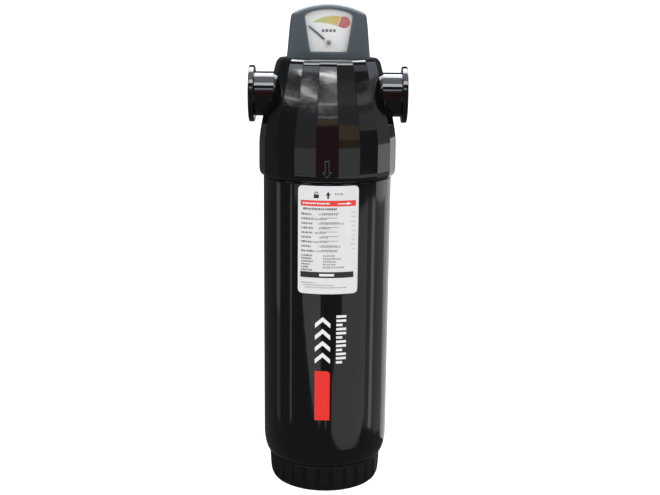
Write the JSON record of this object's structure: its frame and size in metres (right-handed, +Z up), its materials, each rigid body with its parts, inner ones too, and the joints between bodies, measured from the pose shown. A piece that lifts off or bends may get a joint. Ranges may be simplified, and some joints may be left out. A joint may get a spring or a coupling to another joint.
{
  "type": "compressed air filter",
  "caption": "In-line compressed air filter with a faceted head, side ports, differential pressure gauge, screw-on bowl, filter element and automatic float drain.",
  "frame": {"origin": "centre of the filter's base, on the plane the base ring stands on", "axes": "+Z up along the bowl and head axis, +X from the inlet port to the outlet port, gauge and label face -Y"},
  "size_m": [0.1216, 0.1061, 0.378],
  "materials": {
    "head_paint": "gloss black powder coat on die-cast aluminium",
    "bowl_paint": "gloss black powder coat on aluminium",
    "gauge_plastic": "bluish dark grey moulded plastic, satin",
    "black_plastic": "matt black moulded plastic",
    "seal_rubber": "black nitrile rubber",
    "lens_clear": "clear moulded lens",
    "dial_white": "printed white dial",
    "scale_print": "printed green, yellow and red scale",
    "needle_black": "matt black pointer",
    "steel": "plain stainless steel",
    "meter_plastic": "natural moulded plastic",
    "magnet": "dark sintered magnet",
    "cap_plastic": "glass-filled black end cap",
    "media_paper": "pleated borosilicate fibre media",
    "foam": "open-cell drainage foam sleeve",
    "label_film": "off-white printed film label",
    "stripe_red": "red printed bar",
    "float_plastic": "white moulded plastic"
  },
  "bodies": {
    "head": {"filter_head": "head_paint", "port_seal_inlet": "seal_rubber", "port_seal_outlet": "seal_rubber", "gauge_seat_gasket": "seal_rubber", "gauge_housing": "gauge_plastic", "gauge_back_plate": "gauge_plastic", "gauge_lens": "lens_clear", "gauge_dial": "dial_white", "gauge_scale_band": "scale_print", "gauge_cylinder": "meter_plastic", "gauge_spring": "steel", "gauge_screws": "steel", "element_top_cap": "cap_plastic", "element_spigot_rings": "seal_rubber", "element_core": "steel", "element_media": "media_paper", "element_sleeve": "steel", "element_foam_wrap": "foam", "element_bottom_cap": "cap_plastic", "tie_rod": "steel", "tie_rod_nut": "steel"},
    "bowl_seal": {"bowl_o_ring": "seal_rubber"},
    "bowl": {"bowl_shell": "bowl_paint", "rating_label": "label_film", "side_stripe": "stripe_red", "base_ring": "black_plastic", "ring_screws": "steel", "quiet_zone_baffle": "black_plastic", "drain_body": "black_plastic", "drain_cage": "float_plastic", "drain_seat": "seal_rubber", "drain_o_ring": "seal_rubber", "drain_nut": "steel"},
    "float": {"drain_float": "float_plastic", "drain_valve": "steel"},
    "drain_knob": {"drain_knob": "black_plastic"},
    "piston": {"gauge_piston": "magnet"},
    "needle": {"gauge_needle": "needle_black", "needle_shaft": "steel"}
  },
  "joints": [
    {"name": "bowl_drop", "type": "slide", "parent": "head", "child": "bowl_seal", "axis": [0, 0, 1], "range_m": [-0.26, 0]},
    {"name": "bowl_turn", "type": "hinge", "parent": "bowl_seal", "child": "bowl", "pos_m": [0, 0, 0.272], "axis": [0, 0, 1], "range_deg": [-90, 0]},
    {"name": "float_rise", "type": "slide", "parent": "bowl", "child": "float", "axis": [0, 0, 1], "range_m": [0, 0.008]},
    {"name": "drain_knob_turn", "type": "hinge", "parent": "bowl", "child": "drain_knob", "pos_m": [0, 0, 0.012], "axis": [0, 0, 1], "range_deg": [0, 90]},
    {"name": "gauge_piston_slide", "type": "slide", "parent": "head", "child": "piston", "axis": [0, 0, 1], "range_m": [0, 0.005], "stiffness_N_per_m": 60, "springref_m": -0.004, "deforming": ["gauge_spring"]},
    {"name": "needle_swing", "type": "hinge", "parent": "head", "child": "needle", "pos_m": [0, 0, 0.3494], "axis": [0, 1, 0], "range_deg": [0, 100]}
  ],
  "couplings": [
    {"joint": "needle_swing", "follows": "gauge_piston_slide", "rad_per_m": 349}
  ]
}
